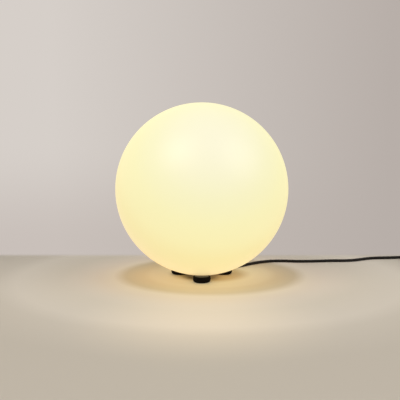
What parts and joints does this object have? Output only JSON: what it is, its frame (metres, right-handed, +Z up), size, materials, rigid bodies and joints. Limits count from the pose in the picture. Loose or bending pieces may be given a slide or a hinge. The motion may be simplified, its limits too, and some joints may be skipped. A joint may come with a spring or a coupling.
{
  "type": "garden globe light",
  "caption": "Opal ball light on a small black footed base, with a lampholder and screw-in lamp inside and a two-core outdoor lead and plug.",
  "frame": {"origin": "on the ground, under the middle of the globe", "axes": "+Z up; -Y to the front, past the front foot; the lead runs off towards +X"},
  "size_m": [0.9125, 0.4307, 0.4064],
  "materials": {
    "globe_opal": "satin opal polyethylene",
    "base_nylon": "fine textured black nylon",
    "foot_rubber": "matt black rubber",
    "seal_rubber": "dark grey silicone rubber",
    "spring_steel": "stainless spring steel",
    "screw_steel": "zinc plated steel",
    "plate_plastic": "grey-white moulding",
    "cord_rubber": "matt black cable sheath",
    "core_brown": "brown insulation",
    "core_blue": "blue insulation",
    "holder_thermoset": "black thermoset moulding",
    "contact_brass": "bright brass",
    "cap_nickel": "nickel plated cap",
    "cap_glass": "dark vitreous insulator",
    "solder": "dull solder",
    "lamp_white": "white plastic",
    "lamp_opal": "opal plastic",
    "led_substrate": "white coated aluminium board",
    "led_phosphor": "yellow phosphor",
    "circuit_green": "green circuit board",
    "tie_fabric": "black woven strap",
    "plug_rubber": "moulded black rubber",
    "pin_nickel": "nickel plated brass"
  },
  "bodies": {
    "base": {"base_plate": "base_nylon", "foot_front": "foot_rubber", "foot_right": "foot_rubber", "foot_left": "foot_rubber", "foot_screws": "screw_steel", "foot_washers": "screw_steel", "neck_seal": "seal_rubber", "spring_clip_1": "spring_steel", "spring_clip_2": "spring_steel", "spring_clip_3": "spring_steel", "clip_screws": "screw_steel", "cord_strain_relief": "cord_rubber", "cord_inner_end": "cord_rubber", "cord_clamp": "plate_plastic", "cord_clamp_screws": "screw_steel", "core_brown": "core_brown", "core_blue": "core_blue", "holder_plate": "plate_plastic", "holder_plate_screws": "screw_steel", "lampholder_base": "holder_thermoset", "lampholder_skirt": "holder_thermoset", "lampholder_screws": "screw_steel", "lampholder_shell": "contact_brass", "centre_contact": "contact_brass", "shell_contact": "contact_brass", "terminals": "contact_brass", "terminal_screws": "screw_steel", "cord_run": "cord_rubber", "cord_coil": "cord_rubber", "plug_tail": "cord_rubber", "coil_tie_1": "tie_fabric", "coil_tie_2": "tie_fabric", "plug_body": "plug_rubber", "plug_pins": "pin_nickel"},
    "globe": {"globe_shell": "globe_opal"},
    "bulb_carriage": {"bulb_tip_contact": "solder", "bulb_cap_insulator": "cap_glass"},
    "bulb": {"bulb_screw_cap": "cap_nickel", "bulb_housing": "lamp_white", "bulb_diffuser": "lamp_opal", "led_board": "led_substrate", "led_chips": "led_phosphor", "driver_board": "circuit_green"}
  },
  "joints": [
    {"name": "globe_lift", "type": "slide", "parent": "base", "child": "globe", "axis": [0, 0, 1], "range_m": [0, 0.2]},
    {"name": "bulb_rise", "type": "slide", "parent": "base", "child": "bulb_carriage", "axis": [0, 0, 1], "range_m": [0, 0.01995]},
    {"name": "bulb_turn", "type": "hinge", "parent": "bulb_carriage", "child": "bulb", "pos_m": [0, 0, 0.08], "axis": [0, 0, 1], "range_deg": [0, 1980]}
  ],
  "couplings": [
    {"joint": "bulb_turn", "follows": "bulb_rise", "rad_per_m": 1731.4}
  ]
}
